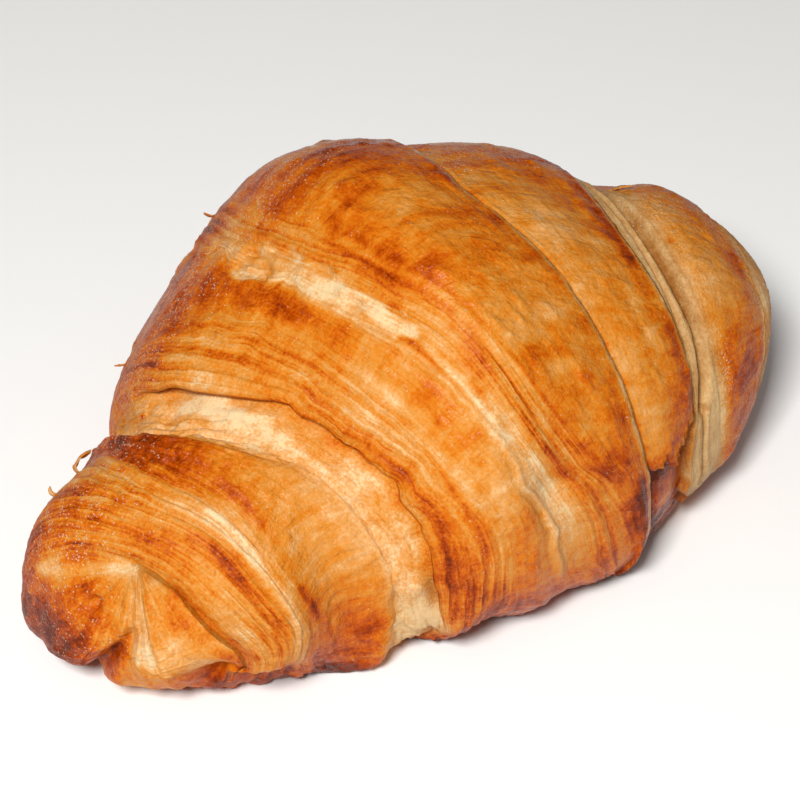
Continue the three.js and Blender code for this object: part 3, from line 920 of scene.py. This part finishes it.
# Blisters: about half of the cells hold a small round dome.
cells = node("TexVoronoi", {"Vector": space}, {"Scale": 1 / (BLISTER_CELL * MM)})
values = {"From Min": 0.6, "From Max": 0.0}
dome = node("MapRange", {"Value": cells}, values, interpolation_type="SMOOTHSTEP")
chosen = node("SeparateColor", {"Color": cells.outputs["Color"]})
chosen = node("Math", {0: chosen}, {1: 0.5}, operation="GREATER_THAN")
dome = node("Math", {0: dome, 1: chosen}, operation="MULTIPLY")
values = {1: BLISTER_HEIGHT, 2: 0.02}
swelling = node("Math", {0: read["wash"]}, values, operation="MULTIPLY_ADD")
height = node("Math", {0: dome, 1: swelling, 2: totals["height"]}, operation="MULTIPLY_ADD")
height = node("Math", {0: flour_and_glint_mask, 2: height}, {1: FLOUR_AND_GLINT_HEIGHT}, operation="MULTIPLY_ADD")
bump = node("Bump", {"Height": height}, {"Strength": 1.0, "Distance": MM})

values = {"To Min": DRY_ROUGHNESS, "To Max": GLAZED_ROUGHNESS}
rough = node("MapRange", {"Value": read["wash"]}, values)
rough = node("Math", {0: flour_and_glint_mask, 2: rough}, {1: FLOUR_AND_GLINT_ROUGHNESS}, operation="MULTIPLY_ADD")
links = {"Base Color": with_flour_and_glints.outputs[2], "Roughness": rough, "Normal": bump}
values = {"IOR": 1.4, "Specular IOR Level": SHINE}
values |= {"Subsurface Weight": 0.1, "Subsurface Radius": SKIN_DEPTHS, "Subsurface Scale": MM}
shader = node("BsdfPrincipled", links, values)
node("OutputMaterial", {"Surface": shader})
crust.data.materials.clear()
crust.data.materials.append(CRUST)
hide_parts("croissant")
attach(crust, "root")
print("finish:", CRUST.name, "with", len(tree.nodes), "nodes")

# %% [markdown]
# ## Loose flakes
# Thin shards of the outer sheet came loose in the oven and curl up. Each is a small grid, bent into an arc
# and laid out from one point of the crust, then given a thickness and rounded. Their long free edges are
# ragged.

# %% Add the flakes
FLAKE_THICKNESS, FLAKE_SINK, FLAKE_TUCK = 0.3, 0.3, 0.4  # mm: and how deep and how far back its root lies
# name: place and turn of its root, length and width in mm, heading in degrees (0 to the right horn, 90
# round the roll towards the front), how far it bends up in degrees, how steeply it starts, and its tone.
FLAKES = {
    "curled_flake": (-47.4, -55, 4.0, 2.4, 200, 200, 40, 0.35),
    "small_flake": (-50.6, -60, 2.0, 1.4, 180, 120, 30, 0.3),
    "top_flick": (39.5, -24, 3.4, 2.4, 20, -20, 38, 0.4),
    "ridge_flake": (-13, -58, 2.0, 1.6, 180, 60, 30, 0.5),
    "back_flake": (-30, -66, 2.2, 1.6, 200, 50, 30, 0.45),
}
FLAKE_ROWS, FLAKE_COLUMNS = 12, 8


def add_flake(name, place_at, turn_at, length, width, heading, bend, start, flake_tone):
    """One loose shard, which rides with the crust."""
    distance = np.abs(place - place_at) + 0.6 * np.abs(turn - turn_at) + 50 * inside
    k, j = np.unravel_index(np.argmin(distance), distance.shape)
    out = outwards[k, j]
    right = shaped[k + 2, j] - shaped[k - 2, j]
    right -= out * (right @ out)
    right /= np.linalg.norm(right)
    front = np.cross(right, out)
    aim = math.radians(heading)
    ahead = right * math.cos(aim) + front * math.sin(aim)
    beside = np.cross(out, ahead)

    bpy.ops.mesh.primitive_grid_add(x_subdivisions=FLAKE_ROWS, y_subdivisions=FLAKE_COLUMNS, size=2)
    flake = bpy.context.object
    flake.name = name
    points = points_of(flake)
    share, across_flake = (points[:, 0] + 1) / 2, points[:, 1]
    ragged = 1 + 0.35 * uneven(across_flake * 2.5, 30, 40 * share, 7 + len(name), 2)
    arc = math.radians(bend) * share
    begin = math.radians(start)
    forwards = share * length * ragged * np.cos(begin + arc / 2)
    upwards = share * length * ragged * np.sin(begin + arc / 2) * np.sinc(arc / 2 / math.pi) + 0.1
    sideways = across_flake * width / 2 * (1 - 0.5 * share**2) * ragged
    root = shaped[k, j] - out * FLAKE_SINK - ahead * FLAKE_TUCK
    points = root + np.outer(forwards, ahead) + np.outer(sideways, beside) + np.outer(upwards, out)
    flake.data.vertices.foreach_set("co", (points * MM).ravel())
    thicken = flake.modifiers.new("thickness", "SOLIDIFY")
    thicken.thickness = FLAKE_THICKNESS * MM
    thicken.offset = 0
    rounding = flake.modifiers.new("rounding", "SUBSURF")
    rounding.levels = 1
    for modifier in ("thickness", "rounding"):
        bpy.ops.object.modifier_apply(modifier=modifier)
    bpy.ops.object.shade_smooth()
    spots = points_of(flake) / MM
    store(flake, "grain", "FLOAT_VECTOR", np.stack([spots @ beside, spots @ ahead, 0 * spots[:, 0]], -1))
    for key, value in dict(tone=flake_tone, layered=0.4, wash=0.1, frost=0.3, raw=0.3).items():
        store(flake, key, "FLOAT", np.full(len(spots), value))
    flake.data.materials.append(CRUST)
    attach(flake, "root")


for name, settings in FLAKES.items():
    add_flake(name, *settings)
print(len(FLAKES), "flakes stand on the crust")

# %% [markdown]
# ## Floor, light and camera
# A wide pale floor and a big soft lamp from near the camera show the crust as a small studio would.

# %% Stage
bpy.ops.mesh.primitive_plane_add(size=6)
floor = bpy.context.object
floor.name = "floor"
paper = bpy.data.materials.new("pale_studio_paper")
paper.use_nodes = True
paper.node_tree.nodes["Principled BSDF"].inputs["Base Color"].default_value = linear("#F7F6F3")
paper.node_tree.nodes["Principled BSDF"].inputs["Roughness"].default_value = 0.9
floor.data.materials.append(paper)
floor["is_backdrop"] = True

AIM = Vector((0.0034, -0.0005, 0.022))
AZIMUTH, ELEVATION, DISTANCE = -33.7, 42.8, 0.4616  # of the camera: degrees round and up, and metres away
SIDEWAYS, UPWARDS = -0.00104, 0.0012  # metres that the camera is shifted, which centres the croissant
SKYLIGHT = 0.1  # a little light from all round


def direction(azimuth, elevation):
    """The way from the croissant to a camera or lamp, from degrees round it and degrees up."""
    azimuth, elevation = math.radians(azimuth), math.radians(elevation)
    level = math.cos(elevation)
    return Vector((math.sin(azimuth) * level, -math.cos(azimuth) * level, math.sin(elevation)))


back = direction(AZIMUTH, ELEVATION)
side = direction(AZIMUTH + 90, 0)
upright = back.cross(side)
bpy.ops.object.camera_add()
camera = bpy.context.object
camera.data.lens = 124  # mm
camera.data.sensor_width = 36  # mm
camera.rotation_mode = "QUATERNION"
camera.rotation_quaternion = back.to_track_quat("Z", "Y")
camera.location = AIM + side * SIDEWAYS + upright * UPWARDS + back * DISTANCE
bpy.context.scene.camera = camera


def soft_lamp(name, size, power, distance, turned, raised):
    """A square lamp that looks at the croissant from an angle beside and above the camera's."""
    way = direction(AZIMUTH + turned, raised)
    bpy.ops.object.light_add(type="AREA")
    lamp = bpy.context.object
    lamp.name = name
    lamp.data.size = size
    lamp.data.energy = power
    lamp.location = AIM + way * distance
    lamp.rotation_mode = "QUATERNION"
    lamp.rotation_quaternion = way.to_track_quat("Z", "Y")


soft_lamp("key", size=0.16, power=7.7, distance=0.8, turned=-14, raised=50)
soft_lamp("fill", size=1.2, power=1.8, distance=1.4, turned=30, raised=70)
world = bpy.data.worlds.new("studio")
bpy.context.scene.world = world
world.use_nodes = True
world.node_tree.nodes["Background"].inputs["Color"].default_value = linear("#FFFFFF")
world.node_tree.nodes["Background"].inputs["Strength"].default_value = SKYLIGHT
bpy.context.scene.view_settings.view_transform = "Standard"

# %% [markdown]
# ## Size
# The last cell measures the box of what was made and prints it in millimetres.

# %% Size of what was made
low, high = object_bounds()
print("visual box in mm:", [round(v / MM, 1) for v in (*low, *high)])
